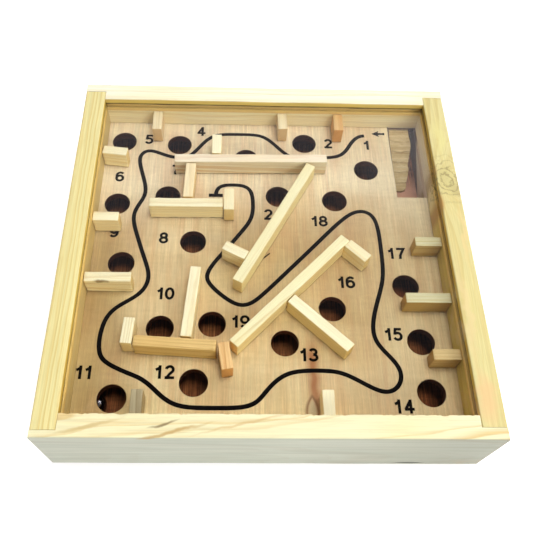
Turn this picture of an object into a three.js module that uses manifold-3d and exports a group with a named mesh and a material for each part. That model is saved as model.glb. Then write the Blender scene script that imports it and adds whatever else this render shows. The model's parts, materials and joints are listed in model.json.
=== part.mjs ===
// Hand-held wooden tilt maze: a square pine tray with a clear cover, a raised maze board
// with numbered fall-through holes, glued-on wall bars, a ball-return pocket with a ramp,
// and one loose steel ball in the tray below.
// Millimetres, +Z up, front of the box towards -Y, origin at the middle of the underside.

import * as THREE from 'three';
import { mergeVertices } from 'three/addons/utils/BufferGeometryUtils.js';
import Module from 'manifold-3d';

const wasm = await Module();
wasm.setup();

// ---------------------------------------------------------------- driving dimensions

const BOX_WIDTH = 240;
const BOX_DEPTH = 240;
const RIM_HEIGHT = 56;
const RAIL_THICKNESS = 13;
const RABBET_LIP = 6.5;
const FRONT_LEFT_LIP = 4.1;
const GLUE_GAP = 0.2;

const BASE_THICKNESS = 4;
const BASE_INSET = 2.5;

const GROOVE_DEPTH = 4;
const COVER_GROOVE_DEPTH = 2;
const FLOOR_BOTTOM = 11;
const FLOOR_TOP = 15;
const BOARD_BOTTOM = 28;
const BOARD_TOP = 33;
const COVER_BOTTOM = 48;
const COVER_TOP = 51;

const WALL_THICKNESS = 6.4;
const WALL_HEIGHT = 12.5;

const HOLE_RADIUS = 8;
const HOLE_HALF_SEGMENTS = 14;

const BALL_RADIUS = 6;
const BALL_REST = [-96, -92];

const POCKET = { left: 87.5, right: 106.9, front: 46.5, back: 106.9 };

const INNER_X = BOX_WIDTH / 2 - RAIL_THICKNESS;
const INNER_Y = BOX_DEPTH / 2 - RAIL_THICKNESS;
const RAIL_BOTTOM = BASE_THICKNESS + GLUE_GAP;
const PANEL_X = INNER_X + GROOVE_DEPTH - GLUE_GAP;
const PANEL_Y = INNER_Y + GROOVE_DEPTH - GLUE_GAP;
const COVER_X = INNER_X + COVER_GROOVE_DEPTH - GLUE_GAP;
const COVER_Y = INNER_Y + COVER_GROOVE_DEPTH - GLUE_GAP;

// Centre of each numbered hole on the board.
const HOLES = {
  1: [68.5, 68.5],
  2: [27.5, 91],
  3: [-12.5, 76.8],
  4: [-58, 88],
  5: [-95.6, 90],
  6: [-95.5, 38],
  7: [-63.4, 44.5],
  8: [-45.5, 9.6],
  9: [-88.7, -6.5],
  10: [-62.2, -49.8],
  11: [-85.6, -92],
  12: [-41.4, -82.7],
  13: [10.1, -58.5],
  14: [91, -87.7],
  15: [89.2, -57],
  16: [38.9, -36.2],
  17: [84.6, -20.6],
  18: [45.4, 42.6],
  19: [-32.1, -46.8],
  20: [10.6, 44.8],
};

// ---------------------------------------------------------------- materials

const railPine = new THREE.MeshStandardMaterial({ color: 0xeedfae, roughness: 0.6, metalness: 0 });
const wallPine = new THREE.MeshStandardMaterial({ color: 0xf0e2b4, roughness: 0.65, metalness: 0 });
const rampPine = new THREE.MeshStandardMaterial({ color: 0xd9bd82, roughness: 0.8, metalness: 0 });
const boardPly = new THREE.MeshStandardMaterial({ color: 0xd9bd98, roughness: 0.55, metalness: 0 });
const floorPly = new THREE.MeshStandardMaterial({ color: 0xa9745a, roughness: 0.7, metalness: 0 });
const basePly = new THREE.MeshStandardMaterial({ color: 0x9a958a, roughness: 0.8, metalness: 0 });
const acrylic = new THREE.MeshStandardMaterial({
  color: 0xf4f7f6,
  roughness: 0.05,
  metalness: 0,
  transparent: true,
  opacity: 0.12,
});
const steel = new THREE.MeshStandardMaterial({ color: 0xc8c8cc, roughness: 0.12, metalness: 1 });

// ---------------------------------------------------------------- helpers

const group = new THREE.Group();

function addPart(name, geometry, material, position = [0, 0, 0], turnDegrees = 0) {
  const mesh = new THREE.Mesh(geometry, material);
  mesh.name = name;
  mesh.position.set(...position);
  mesh.rotation.z = THREE.MathUtils.degToRad(turnDegrees);
  group.add(mesh);
  return mesh;
}

function box(x0, x1, y0, y1, z0, z1) {
  const geometry = new THREE.BoxGeometry(x1 - x0, y1 - y0, z1 - z0);
  geometry.translate((x0 + x1) / 2, (y0 + y1) / 2, (z0 + z1) / 2);
  return geometry;
}

function toSolid(geometry) {
  const plain = geometry.clone();
  plain.deleteAttribute('normal');
  plain.deleteAttribute('uv');
  const merged = mergeVertices(plain, 1e-4);
  const mesh = new wasm.Mesh({
    numProp: 3,
    vertProperties: new Float32Array(merged.attributes.position.array),
    triVerts: new Uint32Array(merged.index.array),
  });
  return new wasm.Manifold(mesh);
}

function toGeometry(solid) {
  const mesh = solid.getMesh();
  const geometry = new THREE.BufferGeometry();
  geometry.setAttribute('position', new THREE.BufferAttribute(mesh.vertProperties, 3));
  geometry.setIndex(new THREE.BufferAttribute(mesh.triVerts, 1));
  geometry.computeVertexNormals();
  return geometry;
}

function cut(geometry, tools) {
  let solid = toSolid(geometry);
  for (const tool of tools) {
    solid = solid.subtract(toSolid(tool));
  }
  return toGeometry(solid);
}

// ---------------------------------------------------------------- frame

// Height range and depth of the three saw grooves that hold the floor, the maze board and the cover.
const GROOVES = [
  [FLOOR_BOTTOM, FLOOR_TOP, GROOVE_DEPTH],
  [BOARD_BOTTOM, BOARD_TOP, GROOVE_DEPTH],
  [COVER_BOTTOM, COVER_TOP, COVER_GROOVE_DEPTH],
];

// Front or back rail: full width, rabbeted at both ends to take the side rails.
function endRail(side, leftLip = RABBET_LIP) {
  const outer = side * BOX_DEPTH / 2;
  const lipAt = (lip) => side * (BOX_DEPTH / 2 - lip);
  const inner = side * INNER_Y;
  const range = (a, b) => [Math.min(a, b), Math.max(a, b)];
  const body = box(-BOX_WIDTH / 2, BOX_WIDTH / 2, ...range(outer, inner), RAIL_BOTTOM, RIM_HEIGHT);
  const reach = BOX_WIDTH;
  const past = side * (INNER_Y - 5);
  const rabbetStart = INNER_X - GLUE_GAP;
  const tools = [
    box(-reach, -rabbetStart, ...range(lipAt(leftLip), past), 0, 2 * RIM_HEIGHT),
    box(rabbetStart, reach, ...range(lipAt(RABBET_LIP), past), 0, 2 * RIM_HEIGHT),
  ];
  for (const [bottom, top, depth] of GROOVES) {
    const grooveEnd = side * (INNER_Y + depth);
    tools.push(box(-reach, reach, ...range(past, grooveEnd), bottom - GLUE_GAP, top + GLUE_GAP));
  }
  return cut(body, tools);
}

// Side rail: plain ends seated in the rabbets, the same three grooves on its inner face.
function sideRail(farLip = RABBET_LIP) {
  const nearEnd = -(BOX_DEPTH / 2 - RABBET_LIP - GLUE_GAP);
  const farEnd = BOX_DEPTH / 2 - farLip - GLUE_GAP;
  const body = box(INNER_X, BOX_WIDTH / 2, nearEnd, farEnd, RAIL_BOTTOM, RIM_HEIGHT);
  const tools = GROOVES.map(([bottom, top, depth]) =>
    box(INNER_X - 5, INNER_X + depth, -BOX_DEPTH, BOX_DEPTH, bottom - GLUE_GAP, top + GLUE_GAP));
  return cut(body, tools);
}

function addFrame() {
  addPart('front_rail', endRail(-1, FRONT_LEFT_LIP), railPine);
  addPart('back_rail', endRail(1), railPine);
  addPart('right_rail', sideRail(), railPine);
  addPart('left_rail', sideRail(FRONT_LEFT_LIP), railPine, [0, 0, 0], 180);
}

// ---------------------------------------------------------------- panels

function rectangle(target, x0, x1, y0, y1) {
  target.moveTo(x0, y0);
  target.lineTo(x1, y0);
  target.lineTo(x1, y1);
  target.lineTo(x0, y1);
  target.closePath();
  return target;
}

// Maze board: a square panel with the numbered holes and the ball-return pocket cut through it.
function mazeBoard() {
  const outline = rectangle(new THREE.Shape(), -PANEL_X, PANEL_X, -PANEL_Y, PANEL_Y);
  for (const [x, y] of Object.values(HOLES)) {
    const hole = new THREE.Path();
    hole.absarc(x, y, HOLE_RADIUS, 0, 2 * Math.PI, true);
    outline.holes.push(hole);
  }
  const { left, right, front, back } = POCKET;
  outline.holes.push(rectangle(new THREE.Path(), left, right, front, back));
  const geometry = new THREE.ExtrudeGeometry(outline, {
    depth: BOARD_TOP - BOARD_BOTTOM,
    bevelEnabled: false,
    curveSegments: HOLE_HALF_SEGMENTS,
  });
  geometry.translate(0, 0, BOARD_BOTTOM);
  return geometry;
}

function addPanels() {
  const baseX = BOX_WIDTH / 2 - BASE_INSET;
  const baseY = BOX_DEPTH / 2 - BASE_INSET;
  addPart('base_panel', box(-baseX, baseX, -baseY, baseY, 0, BASE_THICKNESS), basePly);
  addPart('tray_floor', box(-PANEL_X, PANEL_X, -PANEL_Y, PANEL_Y, FLOOR_BOTTOM, FLOOR_TOP), floorPly);
  addPart('maze_board', mazeBoard(), boardPly);
  addPart('clear_cover', box(-COVER_X, COVER_X, -COVER_Y, COVER_Y, COVER_BOTTOM, COVER_TOP), acrylic);
}

// ---------------------------------------------------------------- return ramp and ball

// Wedge in the pocket: level with the board at the back, down to the tray floor at the front.
// Its right-hand edge is left rough-sawn and its front right corner is rounded off.
function returnRamp() {
  const bottom = FLOOR_TOP + GLUE_GAP;
  const back = POCKET.back - GLUE_GAP;
  const left = POCKET.left + GLUE_GAP;
  const front = 64;
  const side = new THREE.Shape();
  side.moveTo(-back, bottom);
  side.lineTo(-front, bottom);
  side.lineTo(-front, bottom + 1.6);
  side.lineTo(-back, BOARD_TOP - 0.3);
  side.closePath();
  const wedge = new THREE.ExtrudeGeometry(side, { depth: 40, bevelEnabled: false });
  wedge.rotateX(Math.PI / 2);
  wedge.rotateZ(-Math.PI / 2);
  wedge.translate(80 + 40, 0, 0);

  const plan = new THREE.Shape();
  plan.moveTo(left, front);
  plan.lineTo(96.4, front);
  plan.quadraticCurveTo(99.2, front + 0.2, 99.4, front + 3);
  const sawnEdge = [[99.6, 70], [101, 75], [101.5, 79], [101, 82], [102, 86], [102.6, 90], [103.6, 94],
    [103.4, 97.5], [102.4, 101], [101.8, back + 1]];
  for (const [x, y] of sawnEdge) {
    plan.lineTo(x, y);
  }
  plan.lineTo(left, back + 1);
  plan.closePath();
  const blank = new THREE.ExtrudeGeometry(plan, { depth: 60, bevelEnabled: false, curveSegments: 4 });
  return toGeometry(toSolid(wedge).intersect(toSolid(blank)));
}

function addRampAndBall() {
  addPart('return_ramp', returnRamp(), rampPine);
  const ball = new THREE.SphereGeometry(BALL_RADIUS, 32, 18);
  addPart('steel_ball', ball, steel, [...BALL_REST, FLOOR_TOP + BALL_RADIUS + 0.1]);
}

// ---------------------------------------------------------------- wall bars

// Each bar: name, centre x, centre y, length, direction of its length in degrees from +X.
const BARS = [
  ['left_peg_back', -98.4, 71.6, 15.8, -6],
  ['left_peg_middle', -98.8, 19.7, 15.8, 0],
  ['left_peg_front', -93.1, -22.9, 27.2, 0],
  ['right_peg_back', 98.6, 4.2, 16.2, 0],
  ['right_peg_middle', 93.4, -34.5, 26.6, 0],
  ['right_peg_front', 98.9, -69.7, 15.6, 0],
  ['back_peg_left', -72.6, 98.7, 16, 90],
  ['back_peg_middle', 12, 99.7, 14, 91.5],
  ['back_peg_right', 50, 99.6, 14, 90],
  ['front_peg_left', -70.2, -98.7, 16, 90],
  ['front_peg_right', 31.4, -98.6, 16.2, 90],
  ['top_bar', -9.5, 67, 99.6, 0.9],
  ['top_bar_back_stub', -32.1, 78.7, 16.2, 90],
  ['top_bar_front_stub', -48.9, 48.7, 26.8, 87.8],
  ['middle_bar', -50.2, 30.9, 46, 0.5],
  ['middle_bar_end', -23.4, 34, 16.3, 90],
  ['slanted_bar', 5.95, 18.8, 99.2, 61.5],
  ['slanted_bar_stub', -19.0, -3.6, 15.4, -28.5],
  ['long_bar', 14.2, -29.05, 97.6, 46.2],
  ['long_bar_end', 54.9, -3.0, 16, -43.8],
  ['long_bar_branch', 29.6, -50.9, 44.6, -43.8],
  ['upright_bar', -44.1, -37.7, 45, 85],
  ['low_bar', -52, -64.1, 46, -3.5],
  ['low_bar_left_end', -78.5, -56.7, 15.8, 86.5],
  ['low_bar_right_end', -23.9, -71.3, 16, 99.7],
];

function addBars() {
  const middle = BOARD_TOP + GLUE_GAP + WALL_HEIGHT / 2;
  for (const [name, x, y, length, turn] of BARS) {
    const bar = new THREE.BoxGeometry(length, WALL_THICKNESS, WALL_HEIGHT);
    addPart(name, bar, wallPine, [x, y, middle], turn);
  }
}

addFrame();
addPanels();
addRampAndBall();
addBars();

export default group;
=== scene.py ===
# Looks, camera and light of the tilt maze game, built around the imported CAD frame.
# Metres, +Z up, front of the box towards -Y. Sizes named _MM are millimetres.

import json
import math
import random

import bmesh
import bpy
from mathutils import Matrix, Quaternion, Vector, noise


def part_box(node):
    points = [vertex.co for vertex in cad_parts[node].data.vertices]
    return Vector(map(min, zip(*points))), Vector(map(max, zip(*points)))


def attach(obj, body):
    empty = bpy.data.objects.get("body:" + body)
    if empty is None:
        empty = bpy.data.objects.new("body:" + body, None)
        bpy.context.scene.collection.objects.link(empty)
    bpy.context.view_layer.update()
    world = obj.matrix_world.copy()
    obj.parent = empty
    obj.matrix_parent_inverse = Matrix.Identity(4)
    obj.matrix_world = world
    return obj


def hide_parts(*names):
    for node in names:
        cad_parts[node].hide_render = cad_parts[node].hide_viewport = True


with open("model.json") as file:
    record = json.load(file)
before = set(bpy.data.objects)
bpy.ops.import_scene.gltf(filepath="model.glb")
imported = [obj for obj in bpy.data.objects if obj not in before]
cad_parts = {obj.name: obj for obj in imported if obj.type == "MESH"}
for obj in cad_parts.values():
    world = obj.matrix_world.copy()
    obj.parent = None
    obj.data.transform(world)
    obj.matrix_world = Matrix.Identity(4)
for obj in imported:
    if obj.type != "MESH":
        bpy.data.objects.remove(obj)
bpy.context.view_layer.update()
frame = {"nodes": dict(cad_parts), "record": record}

MM = 0.001
noise.seed_set(3)  # noise_vector moves by this seed, and by the clock without one

# ---------- sizes and positions

BOX_HALF_MM = 120.0
INNER_HALF_MM = 107.0
GROOVE_CLEARANCE_MM = 0.2
GLUE_GAP_MM = 0.2
HOLE_RADIUS_MM = 8.0
INK_LIFT_MM = 0.03
INK_THICKNESS_MM = 0.03
ROUTE_WIDTH_MM = 2.6
DIGIT_HEIGHT_MM = 8.3
DIGIT_WIDTH_MM = 5.8
DIGIT_STROKE_MM = 1.65
DIGIT_GAP_MM = 1.5
PLIES = 3
ACRYLIC_INDEX = 1.45
RAMP_RIDGE_MM = 7.0
POCKET_MM = {"left": 87.5, "right": 106.9, "front": 46.5, "back": 106.9}

# Middle of each printed number.
NUMBERS_MM = {
    1: (70.4, 90.6), 2: (44.2, 91.4), 3: (2.5, 73.5), 4: (-43.5, 100.5), 5: (-79, 92.5),
    6: (-96, 60), 7: (-59.5, 66.5), 8: (-64, 12.3), 9: (-95.3, 16.3), 10: (-60.5, -27),
    11: (-103, -77), 12: (-57.5, -76.5), 13: (23.5, -65.5), 14: (75, -95.5), 15: (73.6, -52.3),
    16: (48.5, -18), 17: (81.5, 3), 18: (34.5, 26.6), 19: (-15.6, -45), 20: (5.5, 31.2),
}

# Control points of the printed route, from the start by the arrow to the end mark.
ROUTE_MM = [
    (70, 99), (66, 98.5), (61, 94), (57, 86), (52, 80.5), (45, 79), (36, 78.5), (26, 77.5),
    (18, 78.5), (12, 83.5), (4, 93.5), (-3, 98), (-12, 98.3), (-22, 98.3), (-31, 98), (-38, 95),
    (-44, 87), (-49, 79.5), (-55, 76.5), (-62, 77), (-69, 79.5), (-76, 82.8), (-81.5, 82),
    (-84.5, 77), (-83.5, 70), (-80.5, 60), (-78, 51), (-78.3, 44), (-82, 37), (-84.5, 30),
    (-83.5, 22), (-80, 12), (-76, 0), (-72, -10), (-70.8, -18), (-74, -26), (-81, -31.5),
    (-89, -36.5), (-94, -43), (-96, -52), (-96.3, -61), (-94.5, -68.5), (-88, -73), (-79, -77),
    (-71, -80), (-65, -84.5), (-59, -90.5), (-52, -95.3), (-43, -97), (-30, -97), (-14, -97),
    (-6, -94), (-1, -87), (5, -80.5), (12, -76.3), (21, -75), (31, -75), (40, -75.5), (48, -79),
    (57, -84.5), (65, -88), (71.5, -86), (75.5, -80), (75, -72.5), (69, -65), (63.5, -58.5),
    (61.5, -51), (63, -41), (67, -29), (71.5, -16), (72.3, -4), (72.3, 10), (72, 21),
    (70.5, 30), (65.5, 35), (58, 34.5), (51, 29.5), (42, 20.5), (28, 5), (12, -12), (-2, -27),
    (-9, -33.3), (-15, -34.8), (-21, -32.5), (-28, -27), (-34, -21), (-36.8, -15.5),
    (-34.5, -9), (-29, -1), (-22, 8), (-15, 18), (-9.5, 26), (-7.8, 34), (-8, 44), (-9.5, 51),
    (-14.5, 54.3), (-22, 54.5), (-28.5, 54), (-31.8, 50.5), (-32.2, 46.2),
]
ARROW_TIP_MM = (75.2, 101)
ARROW_LENGTH_MM = 9.2
END_MARK_MM = (-32.2, 45.8)
END_MARK_SIZE_MM = (9.2, 2.6)
DASH_MM = ((-1.6, -2.0), (2.4, 1.9))

# Rough-sawn right edge of the ramp as (y, x), from the rounded front corner to the back.
RAMP_EDGE_MM = [
    (64, 96.4), (65, 98.4), (67, 99.4), (70, 99.6), (75, 101), (79, 101.5), (82, 101), (86, 102),
    (90, 102.6), (94, 103.6), (97.5, 103.4), (101, 102.4), (106.9, 101.8),
]

# ---------- node graph helper


def adds_node(operation):
    """An operator on values that adds a math node."""
    return lambda value, other=None: value.graph.math(operation, value, other)


class Value:
    """One output in a node graph, which takes plain arithmetic."""

    __add__ = adds_node("ADD")
    __sub__ = adds_node("SUBTRACT")
    __mul__ = adds_node("MULTIPLY")
    __truediv__ = adds_node("DIVIDE")
    __abs__ = adds_node("ABSOLUTE")

    def __init__(self, graph, socket):
        self.graph = graph
        self.socket = socket

    def __rsub__(self, other):
        return self.graph.math("SUBTRACT", other, self)


class Graph:
    """A small wrapper that adds shader nodes and links; inputs are values, plain numbers or tuples."""

    def __init__(self, tree):
        self.tree = tree
        self.tree.nodes.clear()

    def feed(self, socket, value):
        if isinstance(value, Value):
            self.tree.links.new(value.socket, socket)
        elif value is not None:
            opaque = socket.type == "RGBA" and len(value) == 3
            socket.default_value = (*value, 1.0) if opaque else value

    def node(self, kind, inputs=(), **settings):
        """A new node; its inputs come in order, or in a dict by name or number."""
        made = self.tree.nodes.new(kind)
        for key, value in settings.items():
            setattr(made, key, value)
        for key, value in inputs.items() if isinstance(inputs, dict) else enumerate(inputs):
            self.feed(made.inputs[key], value)
        return made

    def value(self, kind, inputs=(), output=0, **settings):
        return Value(self, self.node(kind, inputs, **settings).outputs[output])

    def math(self, operation, a, b=None, clamp=False):
        return self.value("ShaderNodeMath", (a, b), operation=operation, use_clamp=clamp)

    def vector(self, operation, a, b=None):
        output = "Value" if operation in ("LENGTH", "DISTANCE") else "Vector"
        return self.value("ShaderNodeVectorMath", (a, b), output, operation=operation)

    def scaled(self, vector, factor):
        return self.value("ShaderNodeVectorMath", {0: vector, "Scale": factor}, operation="SCALE")

    def split(self, vector):
        made = self.node("ShaderNodeSeparateXYZ", (vector,))
        return [Value(self, socket) for socket in made.outputs]

    def join(self, x, y, z):
        return self.value("ShaderNodeCombineXYZ", (x, y, z))

    def ramp(self, value, low, high, start, end):
        """Start up to low, end from high, and straight in between."""
        return self.value("ShaderNodeMapRange", (value, low, high, start, end))

    def rise(self, value, low, high, most=1.0):
        return self.ramp(value, low, high, 0.0, most)

    def fall(self, value, low, high, most=1.0):
        return self.ramp(value, low, high, most, 0.0)

    def hump(self, value, start, full, fading, end):
        return self.rise(value, start, full) * self.fall(value, fading, end)

    def within(self, value, low, high, soft):
        """1 between low and high, falling to 0 over a soft margin on both sides."""
        return self.hump(value, low - soft, low, high, high + soft)

    def noise(self, vector, detail=3.0, roughness=0.5, distortion=0.0):
        look = {"Scale": 1.0, "Detail": detail, "Roughness": roughness, "Distortion": distortion}
        return self.value("ShaderNodeTexNoise", {"Vector": vector, **look})

    def cloud(self, place, scale, *look):
        """Noise with patches about 1 / scale across."""
        return self.noise(self.scaled(place, scale), *look)

    def drift(self, place, scale, detail, amount):
        """Noise about zero, up to half the amount either way."""
        return (self.cloud(place, scale, detail) - 0.5) * amount

    def mix(self, amount, a, b, blend="MIX"):
        inputs = {0: amount, 6: a, 7: b}
        return self.value("ShaderNodeMix", inputs, 2, data_type="RGBA", blend_type=blend)

    def tint(self, amount, colour, tone):
        """The colour multiplied by a tone, as far as the amount says."""
        return self.mix(amount, colour, self.mix(1.0, colour, tone, "MULTIPLY"))

    def dim(self, colour, level):
        """The colour multiplied by the same level in each channel."""
        return self.mix(1.0, colour, self.join(level, level, level), "MULTIPLY")

    def show(self, kind, inputs, output="ShaderNodeOutputMaterial"):
        """Adds the last shader and joins it to the output."""
        self.node(output, {"Surface": self.value(kind, inputs)})


def new_material(name):
    material = bpy.data.materials.new(name)
    material.use_nodes = True
    return material, Graph(material.node_tree)


def millimetres(g, seed=0.0):
    """Object coordinates in millimetres, and the same moved by a seed so that copies differ."""
    place = g.scaled(g.value("ShaderNodeTexCoord", output="Object"), 1000.0)
    moved = g.vector("ADD", place, (seed * 17.3, seed * 31.7, seed * 11.9))
    return place, moved


def matt_surface(g, colour, height, roughness, bump, gloss):
    """Joins colour, relief and roughness into the surface."""
    relief = g.value("ShaderNodeBump", {"Distance": bump * MM, "Height": height})
    g.show("ShaderNodeBsdfPrincipled", {"Base Color": colour, "Roughness": roughness,
                                        "Specular IOR Level": gloss, "Normal": relief})


def toned(colour, *factors):
    """A plain colour with its red, green and blue each multiplied by a factor."""
    return tuple(c * k for c, k in zip(colour, factors))


# ---------- wood materials

def pine(name, grain, light, dark, ring, pith, wobble, contrast, seed, drift=(0.0, 0.0), knots=(),
         roughness=0.55, fibre=0.16, paint=None, sawn_and_lit_sides=None, foot_mm=0.0):
    """Solid pine: growth rings round a pith line, fine fibres along the grain, knots and end grain."""
    material, g = new_material(name)
    place, moved = millimetres(g, seed)
    order = {"X": (0, 1, 2), "Y": (1, 0, 2)}[grain]
    place_parts, moved_parts = g.split(place), g.split(moved)
    along, across, depth = (place_parts[i] for i in order)
    m_along, m_across, m_depth = (moved_parts[i] for i in order)

    def stretched(slow, fast):
        return g.join(m_along * slow, m_across * fast, m_depth * fast)

    wave = (g.noise(stretched(0.011, 0.05), 2.0, 0.45) - 0.5) * (wobble * 2.0)
    ripple = (g.noise(stretched(0.06, 0.35), 2.0) - 0.5) * 0.9
    u = across - pith[0] - along * drift[0]
    v = depth - pith[1] - along * drift[1]
    radius = g.math("SQRT", u * u + v * v) + (wave + ripple)

    knot_dark = 0.0
    for centre, size, stretch, push, depth_of_tone in knots:
        scale = (1.0 / stretch, 1.0, 1.0) if grain == "X" else (1.0, 1.0 / stretch, 1.0)
        offset = g.vector("MULTIPLY", g.vector("SUBTRACT", place, centre), scale)
        gap = g.vector("LENGTH", offset)
        shove = g.math("POWER", 2.718, gap * (-1.0 / (1.7 * size)))
        radius = radius + shove * push
        ragged = (g.cloud(moved, 0.5) - 0.5) * (size * 0.9)
        core = g.fall(gap + ragged, size * 0.45, size * 1.05, depth_of_tone)
        knot_dark = g.math("MAXIMUM", knot_dark, core)

    uneven = g.noise(g.join(radius * 0.11, seed + 4.4, 0.0), 2.0, 0.6)
    radius = radius + (uneven - 0.5) * (ring * 5.0)
    turns = radius / ring
    phase = g.math("FRACT", turns)
    late = g.math("POWER", g.hump(phase, 0.28, 0.86, 0.90, 1.0), 1.6)
    year = g.noise(g.join(turns * 0.45, seed * 3.7 + 0.5, 0.0), 1.0)
    late = late * g.ramp(year, 0.32, 0.66, 0.10, 1.35)

    fine = g.noise(stretched(0.035, 2.1), 4.0, 0.62)
    flecks = g.rise(g.noise(stretched(0.22, 4.5), 1.0), 0.68, 0.80)
    patch = g.cloud(moved, 0.018, 2.0)
    streaks = g.noise(stretched(0.015, 0.45), 3.0, 0.6)

    colour = g.mix(g.math("MULTIPLY", late, contrast, clamp=True), light, dark)
    colour = g.mix(g.rise(patch, 0.48, 0.72, 0.40), colour, toned(light, 0.97, 0.88, 0.68))
    colour = g.mix(g.rise(streaks, 0.55, 0.72, 0.45), colour, toned(dark, 1.15, 1.15, 1.2))
    colour = g.dim(colour, g.ramp(fine, 0.25, 0.75, 1.0 - fibre, 1.0 + fibre * 0.55))
    colour = g.mix(flecks * 0.22, colour, (0.42, 0.28, 0.10))
    if knots:
        inside = g.cloud(moved, 1.4, 3.0, 0.6, 1.5)
        colour = g.mix(knot_dark, colour, g.mix(inside, (0.10, 0.07, 0.03), (0.42, 0.29, 0.11)))

    # end grain drinks light: darker and more orange than the long faces
    normal = g.split(g.value("ShaderNodeTexCoord", output="Normal"))
    on_end = g.rise(abs(normal[order[0]]), 0.75, 0.95, 0.75)
    end_tone = g.mix(fine, toned(dark, 0.80, 0.80, 0.80), toned(dark, 1.15, 1.15, 1.15))
    colour = g.mix(on_end, colour, end_tone)
    if sawn_and_lit_sides:
        # side faces tinted apart from the tops: partly sawn-face colour, partly painted light and shade set
        # per bar
        on_side = g.fall(abs(normal[2]), 0.25, 0.75)
        colour = g.tint(on_side, colour, sawn_and_lit_sides)
        # painted contact shade: the sides darker along their foot where they meet the board, broken up by
        # noise
        contact_shade_breakup = g.ramp(g.cloud(moved, 0.16, 2.0), 0.35, 0.62, 0.15, 0.85)
        contact_shade = g.fall(depth, foot_mm + 0.5, foot_mm + 1.1)
        colour = g.mix(contact_shade * contact_shade_breakup, colour, (0.20, 0.11, 0.04))
    if paint:
        colour = paint(g, place, moved, colour)
    rough = g.ramp(fine, 0.2, 0.8, roughness - 0.06, roughness + 0.10)
    matt_surface(g, colour, fine * 0.7 + late * 0.5, rough, 0.07, 0.4)
    return material


def inner_tones(axis, warm_bounce_tint=(0.97, 0.86, 0.66), below_board_shade=(0.20, 0.12, 0.08), below_board_shade_strength=0.7):
    """Rail faces inside the box: a painted warm tint for light bounced inside the box, a painted golden
    glow by the cover's groove, a painted shadow line above it and painted shade below the board.
    """
    def paint(g, place, moved, colour):
        x, y, z = g.split(place)
        out = abs(x if axis == "X" else y)
        inside = g.fall(out, INNER_HALF_MM + 0.2, INNER_HALF_MM + 0.8)
        wall = inside * g.fall(z, 50.8, 51.2)
        # painted light: the inner wall tinted warmer than the top, for light bounced inside the box
        colour = g.tint(wall, colour, warm_bounce_tint)
        colour = g.tint(inside * g.within(z, 50.9, 55.2, 0.5), colour, (0.93, 0.74, 0.27))
        # painted shade: the wall below the board darkened
        colour = g.mix(wall * g.fall(z, 29.0, 32.5, below_board_shade_strength), colour, below_board_shade)
        # painted glow: the wall by the cover's edge made bright golden, for light carried along the sheet
        groove_glow = g.within(z, 45.6, 50.6, 0.6) * g.fall(out, 109.1, 109.3)
        colour = g.mix(groove_glow * 0.85, colour, (0.80, 0.55, 0.17))
        # painted shadow: a thin dark line in the gap above the cover's groove
        groove_shadow_line = g.within(z, 50.0, 52.1, 0.3) * g.fall(out, 109.1, 109.3)
        thin = g.ramp(g.cloud(moved, 0.05, 2.0), 0.35, 0.65, 0.65, 1.0)
        return g.mix(groove_shadow_line * thin, colour, (0.05, 0.025, 0.004))
    return paint


def offsets(x, y, centre, reach):
    """How far a place is from a centre, as shares of a reach."""
    return (x - centre[0]) / reach[0], (y - centre[1]) / reach[1]


def stains(g, colour, x, y, patches):
    """Soft round-edged patches, each given as its middle, reach, tone and strength."""
    for centre, reach, tone, strength in patches:
        off_x, off_y = offsets(x, y, centre, reach)
        away = g.math("SQRT", off_x * off_x + off_y * off_y)
        colour = g.mix(g.fall(away, 0.35, 1.0, strength), colour, tone)
    return colour


def lens(x, y, centre, reach):
    """0 in the middle of a shape with pointed ends, and 1 on its edge."""
    off_x, off_y = offsets(x, y, centre, reach)
    return abs(off_x) + off_y * off_y


def right_rail_tones(g, place, moved, colour):
    """Greenish and brown patches round the knots on the right rail's top and resin by its inner edge; on
    the inner wall a painted pale haze towards the back and the ramp's painted shadow.
    """
    # the warm tint and the light tone below the board are painted light on this wall
    colour = inner_tones("X", (0.99, 0.87, 0.46), (0.62, 0.50, 0.34), 0.8)(g, place, moved, colour)
    x, y, z = g.split(place)
    # painted light: the inner wall paler towards the back, for the pale haze there
    wall = g.fall(x, 107.2, 107.8) * g.fall(z, 44.6, 45.6)
    colour = g.mix(wall * g.rise(y, 20.0, 70.0, 0.85), colour, (0.88, 0.80, 0.60))
    # painted shadow: the wall darkened below the ramp's sloping surface, where the ramp shades it
    over_ramp = z - g.ramp(y, 64.0, 106.7, 16.8, 32.7)
    ramp_shadow = g.fall(over_ramp, -0.8, 1.0, 0.92) * g.rise(y, 60.0, 66.0)
    colour = g.mix(wall * ramp_shadow, colour, (0.11, 0.04, 0.03))
    swayed = x + g.drift(moved, 0.11, 3.0, 12.0)
    colour = stains(g, colour, swayed, y, (
        ((114.0, 44.0), (9.0, 15.0), (0.52, 0.47, 0.20), 0.7),
        ((113.0, 78.0), (4.0, 20.0), (0.64, 0.60, 0.25), 0.7),
        ((117.0, 2.0), (3.0, 24.0), (0.66, 0.53, 0.24), 0.7),
        ((110.0, -48.0), (3.5, 40.0), (0.66, 0.53, 0.27), 0.55),
    ))
    away = g.vector("DISTANCE", g.vector("MULTIPLY", place, (1.0, 0.72, 0.3)), (113.5, 32.0, 17.0))
    wander = g.cloud(moved, 0.13, 3.0, 0.6) * 3.2
    contour = g.fall(abs(g.math("FRACT", away / 3.4 + wander) - 0.5), 0.03, 0.20)
    colour = g.mix(contour * g.fall(away, 7.0, 16.0, 0.85), colour, (0.30, 0.25, 0.10))
    colour = stains(g, colour, x, y, (((106.6, 26.0), (2.6, 9.0), (0.42, 0.24, 0.06), 0.9),
                                      ((106.4, 52.0), (2.0, 8.0), (0.40, 0.26, 0.08), 0.7)))
    return stains(g, colour, swayed, y, [((112.0, -98.0), (6.0, 18.0), (0.66, 0.45, 0.22), 0.75)])


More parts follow.
